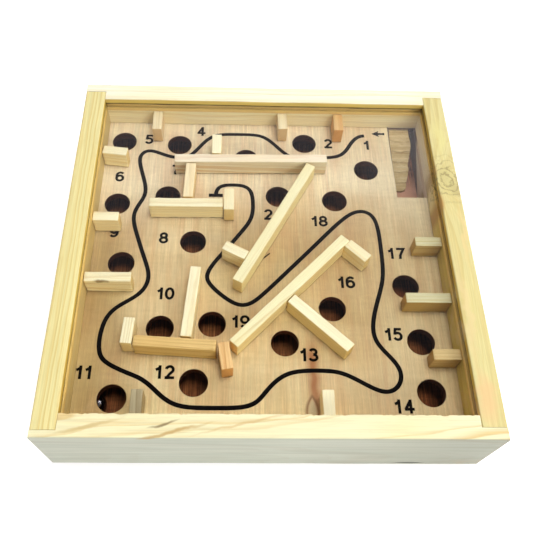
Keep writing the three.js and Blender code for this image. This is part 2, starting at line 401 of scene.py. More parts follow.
def ramp_tones(g, place, moved, colour):
    """Soft brown saw lines across the ramp, uneven patches, and painted shade along its left and back edges
    where it meets the board and the back wall.
    """
    x, y, z = g.split(place)
    phase = g.math("FRACT", (y + g.drift(moved, 0.12, 2.0, 5.0)) / RAMP_RIDGE_MM)
    line = g.hump(phase, 0.62, 0.95, 0.95, 1.0)
    uneven = g.ramp(g.cloud(moved, 0.16, 2.0), 0.35, 0.65, 0.15, 0.75)
    colour = g.mix(line * uneven, colour, (0.30, 0.17, 0.05))
    patch = g.rise(g.noise(g.join(x * 0.10, y * 0.22, 3.0), 2.0), 0.42, 0.62, 0.5)
    colour = g.mix(patch, colour, (0.46, 0.31, 0.12))
    # painted shade: dark along the left edge under the board and the back edge at the back wall
    edge = g.math("MAXIMUM", g.fall(x, 88.1, 88.9), g.rise(y, 104.9, 106.0))
    return g.mix(edge * 0.85, colour, (0.10, 0.06, 0.04))


def front_rail_tones(g, place, moved, colour):
    """The front rail's outer face is painted with grey-blue shade, darker towards the right, and has a dark
    lens-shaped knot by the bottom edge.
    """
    colour = inner_tones("Y")(g, place, moved, colour)
    x, y, z = g.split(place)
    # painted shade: the outer face greyed and bluish, darker towards the right
    face = g.fall(y, -BOX_HALF_MM + 0.25, -BOX_HALF_MM + 0.8)
    face_shade_grain = g.noise(g.join(x * 0.012, 0.0, z * 0.30), 3.0, 0.55)
    face_shade = g.mix(g.rise(face_shade_grain, 0.38, 0.66), (0.46, 0.48, 0.405), (0.35, 0.38, 0.32))
    colour = g.mix(face * 0.85, colour, g.dim(face_shade, g.ramp(x, 10.0, 100.0, 0.91, 0.62)))
    knot = g.fall(lens(x, z, (80.0, 7.6), (9.0, 2.0)), 0.6, 1.1) * face
    colour = g.mix(knot * 0.9, colour, (0.055, 0.060, 0.040))
    blotch = g.rise(x, 96.0, 108.0) * g.fall(z, 9.0, 17.0)
    blotch = blotch * g.rise(g.cloud(moved, 0.12, 3.0), 0.35, 0.62, 0.7)
    colour = g.mix(blotch * face, colour, (0.36, 0.30, 0.20))
    top = g.rise(z, 54.2, 55.2)
    slant = y - x * 0.24 + g.drift(moved, 0.10, 3.0, 3.0)
    streaked = stains(g, colour, x, slant, (
        ((-54.0, -99.6), (9.0, 0.9), (0.20, 0.14, 0.06), 0.85),
        ((-52.0, -104.4), (26.0, 1.2), (0.44, 0.29, 0.10), 0.8),
        ((-92.0, -92.0), (20.0, 1.4), (0.50, 0.38, 0.16), 0.7),
        ((-14.0, -108.8), (30.0, 1.0), (0.55, 0.38, 0.16), 0.6),
    ))
    return g.mix(top, colour, streaked)


def plywood(name, node, light, dark, red, walls, seed=0.0, roughness=0.40, grit=0.16, paint=None,
            rim_tone=None):
    """Rotary-cut veneer: broad soft figure along Y, curl across it, pores, and plies on cut edges."""
    material, g = new_material(name)
    place, moved = millimetres(g, seed)
    x, y, z = g.split(place)
    m_x, m_y = g.split(moved)[:2]

    def figure(across, along, layer, detail=3.0, roughness=0.55, distortion=0.0):
        return g.noise(g.join(m_x * across, m_y * along, layer), detail, roughness, distortion)

    broad = figure(0.045, 0.006, 0.0, 3.0, 0.55, 0.6)
    narrow = figure(0.22, 0.012, 3.0, 3.0, 0.6, 0.3)
    fine = figure(2.4, 0.05, 7.0, 4.0, 0.65)
    pores = g.rise(figure(5.0, 0.28, 1.0, 1.0), 0.62, 0.74)
    flame = figure(0.022, 0.022, 11.0, 3.0, 0.6)
    hue = figure(0.014, 0.014, 23.0, 2.0)
    curl = figure(0.10, 0.50, 17.0, 3.0, 0.6, 0.8)

    colour = g.mix(g.rise(broad, 0.36, 0.62), light, dark)
    colour = g.mix(g.rise(narrow, 0.44, 0.64, 0.60), colour, red)
    colour = g.mix(g.rise(flame, 0.50, 0.66, 0.45), colour, red)
    colour = g.mix(g.rise(hue, 0.50, 0.64, 0.55), colour, toned(light, 1.06, 1.10, 1.12))
    threads = figure(0.9, 0.02, 31.0, 3.0, 0.6)
    shade = g.ramp(fine, 0.25, 0.75, 1.0 - grit, 1.0 + grit * 0.6)
    shade = shade * g.ramp(curl, 0.30, 0.70, 1.0 - grit * 0.26, 1.0 + grit * 0.2)
    shade = shade * g.ramp(threads, 0.30, 0.70, 1.0 - grit * 0.5, 1.0 + grit * 0.36)
    colour = g.dim(colour, shade)
    colour = g.mix(pores * 0.25, colour, toned(red, 0.45, 0.45, 0.45))
    if paint:
        colour = paint(g, place, moved, colour)

    # plies on the walls of holes and on edges, told by height below the face
    low, high = box_mm(node)
    sunk = high[2] - z
    level = sunk / ((high[2] - low[2]) / PLIES)
    ply = g.math("MODULO", g.math("FLOOR", level), 2.0)
    side = g.mix(ply, walls, toned(walls, 0.6, 0.6, 0.6))
    if rim_tone:
        # painted shadow: the ramp shades the board's right edge in the pocket, dark towards the back
        rim_side = g.mix(g.rise(y, 92.0, 98.0, 0.9), rim_tone, (0.11, 0.04, 0.03))
        side = g.mix(g.rise(x, INNER_HALF_MM - 1.0, INNER_HALF_MM - 0.5), side, rim_side)
    colour = g.mix(g.rise(sunk, 0.02, 0.14), colour, side)
    height = fine * 0.6 - pores * 0.5
    matt_surface(g, colour, height, g.ramp(fine, 0.2, 0.8, roughness - 0.05, roughness + 0.08), 0.04, 0.5)
    return material


def board_tones(g, place, moved, colour):
    """The board has painted shade along both side rails and a painted pale haze at the back, and has one
    mineral streak in front.
    """
    x, y, z = g.split(place)
    drifted = x + g.drift(moved, 0.035, 3.0, 36.0)
    # painted shade: the board darker beside the left and right rails
    left = g.fall(drifted, -96.0, -66.0) * g.ramp(y, 5.0, 50.0, 0.95, 0.1)
    right = g.rise(drifted, 30.0, 74.0, 0.75) * g.ramp(y, 30.0, 100.0, 1.0, 0.3)
    colour = g.tint(left, colour, (0.64, 0.575, 0.465))
    colour = g.tint(right, colour, (0.84, 0.86, 0.88))
    # painted light: a pale bluish haze over the back of the board
    back = g.rise(y, 0.0, 60.0, 0.8) * g.ramp(x, 20.0, 80.0, 1.0, 0.6)
    colour = g.tint(back, colour, (1.20, 1.32, 1.74))
    front = g.fall(y, -98.0, -55.0) * g.ramp(x, 20.0, 60.0, 1.0, 0.1)
    colour = g.tint(front, colour, (1.14, 1.18, 1.16))
    middle = g.within(y, -45.0, 25.0, 30.0) * g.within(x, -20.0, 60.0, 30.0)
    colour = g.tint(middle, colour, (0.81, 0.76, 0.67))

    side = g.fall(abs(x + g.drift(moved, 0.05, 2.0, 9.0) - 25.5), 0.8, 5.4)
    reach = g.fall(y, -66.0, -52.0) * g.ramp(y, -112.0, -84.0, 0.7, 1.0)
    colour = g.mix(side * reach * 0.95, colour, (0.36, 0.14, 0.045))
    eye = lens(x, y, (24.2, -99.0), (3.2, 9.0))
    rim = g.hump(eye, 0.62, 0.95, 1.0, 1.5)
    colour = g.mix(rim * 0.85, colour, (0.20, 0.10, 0.04))
    colour = g.mix(g.fall(eye, 0.5, 0.9, 0.75), colour, (0.52, 0.45, 0.27))
    left_edge = POCKET_MM["left"]
    # painted shadow: a thin dark line on the board along the pocket's left edge, where the ramp drops away
    # below it
    pocket_edge_shadow = g.within(x, left_edge - 0.55, left_edge, 0.2) * g.ramp(y, 62.0, 84.0, 0.15, 0.9)
    return g.mix(pocket_edge_shadow * g.rise(y, 46.0, 47.0), colour, (0.10, 0.05, 0.03))


def floor_tones(g, place, moved, colour):
    """The tray floor is painted paler and pinker in the return pocket, for light falling on it there."""
    x, y, z = g.split(place)
    # painted light on the floor in the open pocket
    return stains(g, colour, x, y, [((103.0, 58.0), (22.0, 22.0), (0.62, 0.33, 0.22), 0.9)])


# ---------- other materials


def steel_material():
    """Polished steel with fine scratches."""
    material, g = new_material("polished_steel")
    scratches = g.cloud(millimetres(g)[1], 3.0, 5.0, 0.7, 2.0)
    g.show("ShaderNodeBsdfPrincipled", {
        "Metallic": 1.0,
        "Base Color": g.mix(scratches, (0.26, 0.26, 0.28), (0.34, 0.34, 0.36)),
        "Roughness": g.ramp(scratches, 0.3, 0.7, 0.06, 0.16),
    })
    return material


def cover_material():
    """Thin clear sheet: lets light straight through and mirrors by Fresnel, with faint wipe marks."""
    material, g = new_material("clear_acrylic")
    smear = g.cloud(millimetres(g)[1], 0.035, 3.0, 0.6, 1.2)
    clear = g.value("ShaderNodeBsdfTransparent", {"Color": (0.99, 0.995, 0.99)})
    mirror = g.value("ShaderNodeBsdfGlossy", {"Roughness": g.ramp(smear, 0.35, 0.7, 0.02, 0.06)})
    inside = g.value("ShaderNodeNewGeometry", output="Backfacing")
    index = g.ramp(inside, 0.0, 1.0, ACRYLIC_INDEX, 1.0 / ACRYLIC_INDEX)
    g.show("ShaderNodeMixShader", (g.value("ShaderNodeFresnel", {"IOR": index}), clear, mirror))
    return material


def ink_material():
    """Matt black ink that has spread a little unevenly."""
    material, g = new_material("black_ink")
    spread = g.cloud(millimetres(g)[1], 0.9, 3.0, 0.6)
    colour = g.mix(spread, (0.0015, 0.0012, 0.0012), (0.006, 0.005, 0.005))
    matt_surface(g, colour, spread, g.ramp(spread, 0.3, 0.7, 0.42, 0.60), 0.01, 0.06)
    return material


def floor_material():
    """A pale floor that also glows a little, so that the box hardly shades it."""
    material, g = new_material("pale_floor")
    soft = g.cloud(millimetres(g)[1], 0.004, 2.0)
    g.show("ShaderNodeBsdfPrincipled", {
        "Base Color": g.mix(soft, (0.62, 0.62, 0.62), (0.64, 0.64, 0.64)),
        "Roughness": 0.9,
        "Specular IOR Level": 0.0,
        "Emission Strength": 0.6,
    })
    return material


# ---------- mesh helpers


def add_object(name, data):
    made = bpy.data.objects.new(name, data)
    bpy.context.scene.collection.objects.link(made)
    return made


def add_piece(name, mesh, material, node=None, body="maze_box", place=None):
    """A new shown object that rides on a body and may stand for a CAD node."""
    piece = add_object(name, mesh)
    mesh.materials.append(material)
    if place is not None:
        piece.matrix_world = place
    if node:
        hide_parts(node)
    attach(piece, body)


def mesh_from(bm, name, smooth_angle=35.0):
    bmesh.ops.recalc_face_normals(bm, faces=bm.faces)
    mesh = bpy.data.meshes.new(name)
    bm.to_mesh(mesh)
    bm.free()
    mesh.shade_smooth()
    mesh.set_sharp_from_angle(angle=math.radians(smooth_angle))
    return mesh


def loft(bm, rings, closed=False):
    """Joins equal rings of points with faces; the ends are capped unless the rings close on themselves."""
    made = [[bm.verts.new(point) for point in ring] for ring in rings]
    pairs = list(zip(made, made[1:]))
    if closed:
        pairs.append((made[-1], made[0]))
    else:
        bm.faces.new(made[0])
        bm.faces.new(list(reversed(made[-1])))
    for first, second in pairs:
        for i in range(len(first)):
            k = (i + 1) % len(first)
            bm.faces.new((first[i], first[k], second[k], second[i]))


def box_mm(node):
    low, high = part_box(node)
    return [v / MM for v in low], [v / MM for v in high]


def rectangle(x0, x1, y0, y1):
    return [(x0, y0), (x1, y0), (x1, y1), (x0, y1)]


def arc(x, y, across, up, start, end, steps=16):
    """Points of an ellipse between two angles in degrees."""
    angles = [math.radians(start + (end - start) * i / steps) for i in range(steps + 1)]
    return [(x + across * math.cos(a), y + up * math.sin(a)) for a in angles]


def fillet(corners, steps=3):
    """Rounds the corners of a closed outline given as (a, b, radius)."""
    outline = []
    for i, (a, b, radius) in enumerate(corners):
        here = Vector((a, b))
        if radius <= 0:
            outline.append(here)
            continue
        before = Vector(corners[i - 1][:2]) - here
        after = Vector(corners[i + 1 - len(corners)][:2]) - here
        start = here + before.normalized() * radius
        end = here + after.normalized() * radius
        for step in range(steps + 1):
            t = step / steps
            outline.append(start * (1 - t) ** 2 + here * 2 * t * (1 - t) + end * t ** 2)
    return outline


def subdivided(outline, longest):
    """The same closed outline with no side longer than longest."""
    finer = []
    for here, ahead in zip(outline, [*outline[1:], outline[0]]):
        pieces = max(1, math.ceil((ahead - here).length / longest))
        finer += [here.lerp(ahead, k / pieces) for k in range(pieces)]
    return finer


def wavy(point_mm, amount, scale, seed):
    """A point moved a little by smooth noise, so that faces aren't perfectly flat."""
    shift = noise.noise_vector(Vector(point_mm) * scale + Vector((seed, seed * 1.7, seed * 2.3)))
    return (Vector(point_mm) + shift * amount) * MM


# ---------- rails


def rail_outline(low, high, thickness, grooves):
    """Cross-section as (distance out from the inner face, height), with the saw grooves."""
    corners = [(0.0, low, 0.4), (thickness, low, 0.7), (thickness, high, 0.9), (0.0, high, 0.7)]
    for bottom, top, deep in sorted(grooves, reverse=True):
        corners += [(0.0, top, 0.18), (deep, top, 0.0), (deep, bottom, 0.0), (0.0, bottom, 0.18)]
    return subdivided(fillet(corners), 3.5)


def torn_edge(u, z, position):
    """How far the upper inner edge is broken away at a place along a rail."""
    if z < 54.0 or u > 1.6:
        return 0.0
    coarse = noise.noise(Vector((position * 0.23, 3.3, 1.0)))
    fine = noise.noise(Vector((position * 0.71, 9.1, 4.0)))
    return 0.75 * max(0.0, coarse + 0.7 * fine)


def sweep(name, outline, stations, place, seed, torn=False):
    """Lofts an outline along stations of (position, least distance from the inner face)."""
    rings = []
    for position, least in stations:
        ring = []
        for point in outline:
            u, z = max(point.x, least), point.y
            bite = torn_edge(u, z, position) if torn else 0.0
            ring.append(wavy(place(u + bite, z - 0.7 * bite, position), 0.16, 0.035, seed))
        rings.append(ring)
    bm = bmesh.new()
    loft(bm, rings)
    bmesh.ops.remove_doubles(bm, verts=bm.verts, dist=1e-6)
    bmesh.ops.dissolve_degenerate(bm, dist=1e-6, edges=bm.edges)
    return mesh_from(bm, name)


def spaced(start, end, step):
    count = max(1, round(abs(end - start) / step))
    return [start + (end - start) * i / count for i in range(count + 1)]


def build_rails(materials):
    low, high = box_mm("right_rail")
    inner, thickness = low[0], high[0] - low[0]
    grooves = []
    for node in ("tray_floor", "maze_board", "clear_cover"):
        panel_low, panel_high = box_mm(node)
        grooves.append((panel_low[2] - GROOVE_CLEARANCE_MM, panel_high[2] + GROOVE_CLEARANCE_MM,
                        panel_high[0] + GROOVE_CLEARANCE_MM - inner))
    outline = rail_outline(low[2], high[2], thickness, grooves)

    def add_rail(node, stations, place, seed, torn=False):
        mesh = sweep(node, outline, stations, place, seed, torn)
        add_piece("pine_" + node, mesh, materials[node], node)

    for side, node in ((-1, "left_rail"), (1, "right_rail")):
        rail_low, rail_high = box_mm(node)
        stations = [(y, 0.0) for y in spaced(rail_low[1], rail_high[1], 4.0)]
        add_rail(node, stations, lambda u, z, s, side=side: (side * (inner + u), s, z), 3.0 + side)

    shoulder = inner - GLUE_GAP_MM
    for side, node in ((-1, "front_rail"), (1, "back_rail")):
        rail_low, rail_high = box_mm(node)
        end = 1 if side > 0 else 0
        left_lip, right_lip = (abs(box_mm(rail)[end][1]) + GLUE_GAP_MM - inner
                               for rail in ("left_rail", "right_rail"))
        stations = [(x, left_lip) for x in spaced(rail_low[0], -shoulder, 4.0)]
        stations += [(x, 0.0) for x in spaced(-shoulder, shoulder, 1.2 if side < 0 else 4.0)]
        stations += [(x, right_lip) for x in spaced(shoulder, rail_high[0], 4.0)]
        add_rail(node, stations, lambda u, z, s, side=side: (s, side * (inner + u), z), 7.0 + side,
                 torn=side < 0)


# ---------- maze board


def flat_mesh(name, outlines, thickness, rounding):
    """Fills closed outlines, thickens them about their middle and rounds the edges."""
    curve = bpy.data.curves.new(name, "CURVE")
    curve.dimensions = "2D"
    curve.fill_mode = "BOTH"
    for outline in outlines:
        spline = curve.splines.new("POLY")
        spline.points.add(len(outline) - 1)
        for point, (x, y) in zip(spline.points, outline):
            point.co = (x, y, 0, 1)
        spline.use_cyclic_u = True
    curve.extrude = thickness / 2 - rounding
    curve.bevel_depth = rounding
    curve.bevel_resolution = 2
    curve.offset = -rounding
    holder = add_object(name, curve)
    bpy.context.view_layer.update()
    graph = bpy.context.evaluated_depsgraph_get()
    mesh = bpy.data.meshes.new_from_object(holder.evaluated_get(graph))
    bpy.data.objects.remove(holder)
    bpy.data.curves.remove(curve)
    return mesh


def build_board(material):
    low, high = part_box("maze_board")
    outlines = [rectangle(low[0], high[0], low[1], high[1])]
    for opening in frame["record"]["physics"]["openings"]:
        if opening["name"].startswith("hole_"):
            (x0, y0, _), (x1, y1, _) = opening["box_m"]
            radius = HOLE_RADIUS_MM * MM
            outlines.append(arc((x0 + x1) / 2, (y0 + y1) / 2, radius, radius, 0, 360, 72)[:-1])
    outlines.append(rectangle(*(edge * MM for edge in POCKET_MM.values())))

    flat = flat_mesh("maze_board_shape", outlines, high[2] - low[2], 0.3 * MM)
    bm = bmesh.new()
    bm.from_mesh(flat)
    bpy.data.meshes.remove(flat)
    bmesh.ops.remove_doubles(bm, verts=bm.verts, dist=1e-6)
    bmesh.ops.translate(bm, verts=bm.verts, vec=(0, 0, (low[2] + high[2]) / 2))
    mesh = mesh_from(bm, "plywood_maze_board", 40)
    add_piece("plywood_maze_board", mesh, material, "maze_board")


def refine_cad_node(node, material, bevel_mm):
    """Keeps a CAD solid whose shape is right, with eased edges and a better material."""
    piece = frame["nodes"][node]
    piece.data.materials.clear()
    piece.data.materials.append(material)
    ease = piece.modifiers.new("eased_edges", "BEVEL")
    ease.width = bevel_mm * MM
    ease.segments = 3
    ease.limit_method = "ANGLE"
    ease.angle_limit = math.radians(40)
    piece.data.shade_smooth()
    piece.data.set_sharp_from_angle(angle=math.radians(30))


# ---------- wall bars


def oriented_box(node):
    """Centre, unit length direction and (length, width, height) of a bar from its CAD solid."""
    points = [v.co for v in frame["nodes"][node].data.vertices]
    low_z = min(p.z for p in points)
    high_z = max(p.z for p in points)
    base = []
    for p in points:
        if p.z < low_z + 1e-5 and all((p - q).length > 1e-5 for q in base):
            base.append(p)
    centre = sum(base, Vector()) / 4
    corner = base[0]
    others = sorted(base[1:], key=lambda q: (q - corner).length)
    short, long = others[0] - corner, others[1] - corner
    if long.x < 0:
        long = -long
    centre.z = (low_z + high_z) / 2
    return centre, long.normalized(), (long.length, short.length, high_z - low_z)


def bar_mesh(name, length, width, height, seed, dent=None):
    """A sawn strip: eased edges, slightly uneven faces and, where asked, one torn-out dent."""
    outline = [(-width / 2, -height / 2, 0.35), (width / 2, -height / 2, 0.35),
               (width / 2, height / 2, 0.5), (-width / 2, height / 2, 0.5)]
    ring = subdivided(fillet(outline, 3), 1.0 if dent else 2.2)
    inset = 0.35
    stations = [(-length / 2, inset), (-length / 2 + 0.12, inset * 0.35), (-length / 2 + 0.4, 0.0)]
    stations += [(x, 0.0) for x in spaced(-length / 2 + 2, length / 2 - 2, 0.8 if dent else 2.5)]
    stations += [(length / 2 - 0.4, 0.0), (length / 2 - 0.12, inset * 0.35), (length / 2, inset)]
    rings = []
    for x, pull in stations:
        row = []
        for point in ring:
            where = Vector((x, point.x * (1 - pull / (width / 2)), point.y * (1 - pull / (height / 2))))
            if dent:
                centre, reach = dent
                off = Vector((a - b) / c for a, b, c in zip(where, centre, reach))
                inward = Vector((0.0, -where.y, -where.z)).normalized()
                where += inward * 0.9 * max(0.0, 1.0 - off.length)
            row.append(wavy(where, 0.14, 0.13, seed))
        rings.append(row)
    bm = bmesh.new()
    loft(bm, rings)
    return mesh_from(bm, name, 40)


CREAM = ((0.91, 0.85, 0.59), (0.72, 0.55, 0.24))
TAN = ((0.74, 0.53, 0.22), (0.52, 0.30, 0.08))
ROSY = ((0.87, 0.78, 0.61), (0.70, 0.46, 0.26))
ORANGE = ((0.80, 0.54, 0.25), (0.58, 0.28, 0.08))
# the front-left peg's dull grey-green is partly its wood and partly painted glare reflected off the cover
DULL = ((0.46, 0.40, 0.25), (0.28, 0.21, 0.10))
GOLD = ((0.64, 0.49, 0.24), (0.42, 0.27, 0.09))
HONEY = ((0.88, 0.77, 0.52), (0.68, 0.48, 0.22))
STRAW = ((0.63, 0.595, 0.37), (0.50, 0.39, 0.16))
LEMON = ((0.84, 0.79, 0.50), (0.67, 0.51, 0.21))
BAR_WOODS = {
    "back_peg_left": HONEY, "back_peg_middle": HONEY, "back_peg_right": ORANGE,
    "front_peg_left": DULL, "long_bar": LEMON, "low_bar": TAN, "low_bar_right_end": ORANGE,
    "right_peg_back": STRAW, "right_peg_front": GOLD, "right_peg_middle": STRAW,
    "slanted_bar": LEMON, "top_bar": ROSY, "top_bar_front_stub": HONEY,
}
# Tone of the side faces where it isn't the usual one: partly sawn-face colour, partly painted light and
# shade on the sides.
SAWN_AND_LIT_SIDE = (1.06, 0.98, 0.78)
BAR_SIDES = {
    "back_peg_left": (1.0, 0.93, 0.86), "back_peg_middle": (1.0, 0.93, 0.86),
    "long_bar": (1.06, 0.93, 0.70), "long_bar_branch": (0.93, 0.78, 0.45),
    "low_bar": (0.94, 0.90, 0.70), "right_peg_back": (0.90, 0.70, 0.38),
    "right_peg_front": (0.84, 0.73, 0.50), "right_peg_middle": (0.735, 0.50, 0.20),
    "top_bar": (0.94, 0.95, 0.84),
}
# Centre, size, stretch along the grain, push on the rings, darkness.
BAR_KNOTS = {"left_peg_front": (((-3.5, -3.2, 5.6), 1.5, 3.6, 1.0, 0.95),)}
BAR_DENTS_MM = {"left_peg_front": ((-3.5, -3.2, 6.2), (4.6, 1.2, 1.3))}


def build_bars():
    nodes = [s["node"] for s in frame["record"]["subparts"] if s["material_slot"] == "bar_pine"]
    dice = random.Random(11)
    for number, node in enumerate(sorted(nodes)):
        centre, direction, (length, width, height) = oriented_box(node)
        light, dark = BAR_WOODS.get(node, CREAM)
        lighter = dice.uniform(0.95, 1.04)
        material = pine("pine_" + node, "X", tuple(c * lighter for c in light), dark,
                        ring=dice.uniform(1.5, 3.0),
                        pith=(dice.uniform(-30, 30), dice.choice((-1, 1)) * dice.uniform(12, 40)),
                        drift=(dice.uniform(-0.05, 0.05), dice.uniform(-0.03, 0.03)),
                        wobble=1.6, contrast=dice.uniform(0.5, 0.8), seed=number + 1.0, fibre=0.14,
                        knots=BAR_KNOTS.get(node, ()), roughness=0.5,
                        sawn_and_lit_sides=BAR_SIDES.get(node, SAWN_AND_LIT_SIDE), foot_mm=-height / MM / 2)
        mesh = bar_mesh("wood_" + node, length / MM, width / MM, height / MM, number * 5.1,
                        BAR_DENTS_MM.get(node))
        turn = math.atan2(direction.y, direction.x)
        place = Matrix.Translation(centre) @ Matrix.Rotation(turn, 4, "Z")
        add_piece("wood_" + node, mesh, material, node, place=place)


# ---------- ramp and ball


def build_ramp(material):
    """A sloping wedge with shallow saw ridges, a ragged right edge and a rounded front corner."""
    low, high = box_mm("return_ramp")
    foot_top = low[2] + 1.6
    length = high[1] - low[1]
    rows, columns = 130, 26

    def right_edge(y):
        for (y0, x0), (y1, x1) in zip(RAMP_EDGE_MM, RAMP_EDGE_MM[1:]):
            if y <= y1:
                break
        edge = x0 + (x1 - x0) * (y - y0) / (y1 - y0)
        return edge - 0.5 * abs(noise.noise(Vector((y * 0.45, 5.0, 0.0))))

    def surface(x, y):
        slope = foot_top + (high[2] - foot_top) * (y - low[1]) / length
        bent = y + 1.6 * noise.noise(Vector((x * 0.12, y * 0.08, 7.0)))
        ridge = (bent / RAMP_RIDGE_MM) % 1.0
        return slope - 0.40 * ridge ** 3 - 0.2 * abs(noise.noise(Vector((x * 0.4, y * 0.5, 3.0))))

    bm = bmesh.new()
    top, bottom = [], []
    for i in range(rows + 1):
        y = low[1] + length * i / rows
        edge = right_edge(y)
        xs = [low[0] + (edge - low[0]) * k / columns for k in range(columns + 1)]
        top.append([bm.verts.new(Vector((x, y, max(low[2] + 0.4, surface(x, y)))) * MM) for x in xs])
        bottom.append([bm.verts.new(Vector((x, y, low[2])) * MM) for x in (xs[0], xs[-1])])
    for near, far in zip(top, top[1:]):
        for k in range(columns):
            bm.faces.new((near[k], near[k + 1], far[k + 1], far[k]))
    for i in range(rows):
        bm.faces.new((bottom[i][0], top[i][0], top[i + 1][0], bottom[i + 1][0]))
        bm.faces.new((bottom[i][1], bottom[i + 1][1], top[i + 1][-1], top[i][-1]))
        bm.faces.new((bottom[i][0], bottom[i + 1][0], bottom[i + 1][1], bottom[i][1]))
    bm.faces.new([bottom[0][0], bottom[0][1], *reversed(top[0])])
    bm.faces.new([bottom[-1][1], bottom[-1][0], *top[-1]])
    mesh = mesh_from(bm, "sawn_return_ramp", 30)
    add_piece("sawn_return_ramp", mesh, material, "return_ramp")


def build_ball(material):
    low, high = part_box("steel_ball")
    bm = bmesh.new()
    bmesh.ops.create_icosphere(bm, subdivisions=5, radius=(high[0] - low[0]) / 2)
    bmesh.ops.translate(bm, verts=bm.verts, vec=(Vector(low) + Vector(high)) / 2)
    mesh = mesh_from(bm, "polished_ball", 180)
    add_piece("polished_ball", mesh, material, "steel_ball", body="ball")


# ---------- printing on the board


# Each stroke of a number lies this much higher, in metres, so crossing strokes share no face.
STROKE_STEP = 2e-6


def ink_level():
    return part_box("maze_board")[1][2] + INK_LIFT_MM * MM


def smooth_line(points, steps=8):
    """Uniform cubic B-spline through the middle of its control points, ends held."""
    held = [points[0], points[0], *points, points[-1], points[-1]]
    line = []
    for a, b, c, d in zip(held, held[1:], held[2:], held[3:]):
        for step in range(steps):
            t = step / steps
            wa, wb = (1 - t) ** 3 / 6, (3 * t ** 3 - 6 * t ** 2 + 4) / 6
            wc, wd = (-3 * t ** 3 + 3 * t ** 2 + 3 * t + 1) / 6, t ** 3 / 6
            line.append(Vector(wa * p + wb * q + wc * r + wd * s for p, q, r, s in zip(a, b, c, d)))
    line.append(Vector(points[-1]))
    return [p for i, p in enumerate(line) if i == 0 or (p - line[i - 1]).length > 1e-4]


def add_print(name, bm, material):
    add_piece(name, mesh_from(bm, name), material)


def add_plate(name, outline, material):
    """A thin closed plate of ink over a flat outline in millimetres."""
    level = ink_level() + 0.5 * INK_LIFT_MM * MM
    bm = bmesh.new()
    loft(bm, [[(x * MM, y * MM, z) for x, y in outline] for z in (level, level + INK_THICKNESS_MM * MM)])
    add_print(name, bm, material)


def ribbon(bm, line, half, level, closed=False, bleed=0.0):
    """A thin flat strip of ink along a line of points in millimetres, mitred at its corners."""
    count = len(line)
    thickness = INK_THICKNESS_MM * MM
    rows = []
    for i, point in enumerate(line):
        into = point - line[i - 1] if closed or i > 0 else line[1] - point
        out = line[(i + 1) % count] - point if closed or i < count - 1 else into
        into, out = into.normalized(), out.normalized()
        normal = Vector((-(into + out).y, (into + out).x)).normalized()
        reach = half / max(0.5, normal.dot(Vector((-into.y, into.x))))
        reach += bleed * noise.noise(Vector((point.x * 0.5, point.y * 0.5, 1.0)))
        left, right = point + normal * reach, point - normal * reach
        corners = [(left, 0.0), (right, 0.0), (right, thickness), (left, thickness)]
        rows.append([(p.x * MM, p.y * MM, level + up) for p, up in corners])
    loft(bm, rows, closed)


def build_route(material):
    bm = bmesh.new()
    ribbon(bm, smooth_line(ROUTE_MM), ROUTE_WIDTH_MM / 2, ink_level(), bleed=0.05)
    add_print("printed_route", bm, material)


def build_marks(material):
    """The start arrow, the dash under the top bar and the short bar that ends the route."""
    tip_x, tip_y = ARROW_TIP_MM
    shape = [(0, 0), (4.4, -2.3), (4.0, -0.8), (6.4, -0.65), (8.0, -1.0),
             (8.0, 1.0), (6.4, 0.65), (4.0, 0.8), (4.4, 2.3)]
    scale = ARROW_LENGTH_MM / 8.0
    add_plate("printed_arrow", [(tip_x + x * scale, tip_y + y * scale) for x, y in shape], material)

    start, end = (Vector(p) for p in DASH_MM)
    side = Vector((start.y - end.y, end.x - start.x)).normalized()
    shape = [start - side * 0.2, end - side * 0.35, end + side * 0.45, start + side * 0.75]
    add_plate("printed_dash", shape, material)

    (x, y), (w, h) = END_MARK_MM, END_MARK_SIZE_MM
    corners = rectangle(x - w / 2, x + w / 2, y - h / 2, y + h / 2)
    add_plate("printed_end_mark", fillet([(*corner, 0.3) for corner in corners]), material)


def ring(x, y, across, up):
    """A closed ellipse; the repeated first point marks it as closed."""
    points = arc(x, y, across, up, 0, 360, 24)
    return points[:-1] + points[:1]


SIX = [arc(0.54, 0.62, 0.54, 0.38, 38, 180) + [(0.0, 0.31)], ring(0.5, 0.31, 0.5, 0.31)]
# Middle lines of the strokes in a box one wide and one high.
DIGIT_STROKES = {
    "0": [ring(0.5, 0.5, 0.5, 0.5)],
    "1": [[(0.62, -0.1), (0.62, 1.1)], [(0.62, 0.93), (0.42, 0.80), (0.06, 0.70)]],
    "2": [arc(0.5, 0.71, 0.47, 0.29, 168, -28) + [(0.52, 0.33), (0.12, 0.0)], [(-0.14, 0.0), (1.14, 0.0)]],
    "3": [arc(0.48, 0.76, 0.42, 0.24, 160, -90), arc(0.47, 0.26, 0.51, 0.26, 90, -165)],
    "4": [[(0.72, -0.1), (0.72, 1.1)], [(0.72, 1.0), (0.02, 0.27)], [(-0.12, 0.27), (1.2, 0.27)]],
    "5": [[(1.05, 1.0), (0.2, 1.0), (0.08, 0.47)], arc(0.47, 0.32, 0.51, 0.32, 138, -158)],
    "6": SIX,
    "7": [[(-0.12, 1.0), (0.98, 1.0), (0.62, 0.58), (0.42, 0.28), (0.36, -0.1)]],
    "8": [ring(0.5, 0.76, 0.42, 0.24), ring(0.5, 0.26, 0.5, 0.26)],
    "9": [[(1 - x, 1 - y) for x, y in stroke] for stroke in SIX],
}


